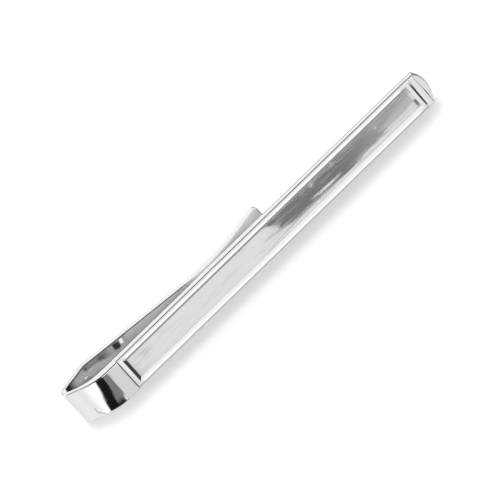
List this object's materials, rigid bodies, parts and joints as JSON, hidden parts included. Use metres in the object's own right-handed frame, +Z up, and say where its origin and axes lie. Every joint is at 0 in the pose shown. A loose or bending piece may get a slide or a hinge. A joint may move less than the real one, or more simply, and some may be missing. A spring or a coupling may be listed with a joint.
{
  "type": "tie clip",
  "caption": "Slide-on tie bar: a polished strip folded back on itself, with a mitred border round a brushed panel and a sprung leg behind.",
  "frame": {"origin": "middle of the outer box, on the lower long edge that the clip stands on", "axes": "+X along the bar from the fold to the rolled free end, +Y from the front to the spring leg, +Z up the width of the strip"},
  "size_m": [0.055, 0.0038, 0.006],
  "materials": {
    "polished_silver": "polished, with fine polishing lines",
    "brushed_silver": "brushed along its length"
  },
  "bodies": {
    "front": {"front_bar": "polished_silver", "panel": "brushed_silver", "upper_rail": "polished_silver", "lower_rail": "polished_silver", "fold_end_rail": "polished_silver", "free_end_rail": "polished_silver", "spring_bend": "polished_silver"},
    "leg": {"spring_leg": "polished_silver"}
  },
  "joints": [
    {"name": "leg_flex", "type": "hinge", "parent": "front", "child": "leg", "pos_m": [-0.02311, 0.00186, 0.003], "axis": [0, 0, 1], "range_deg": [0, 6.5], "stiffness_Nm_per_rad": 0.8}
  ]
}
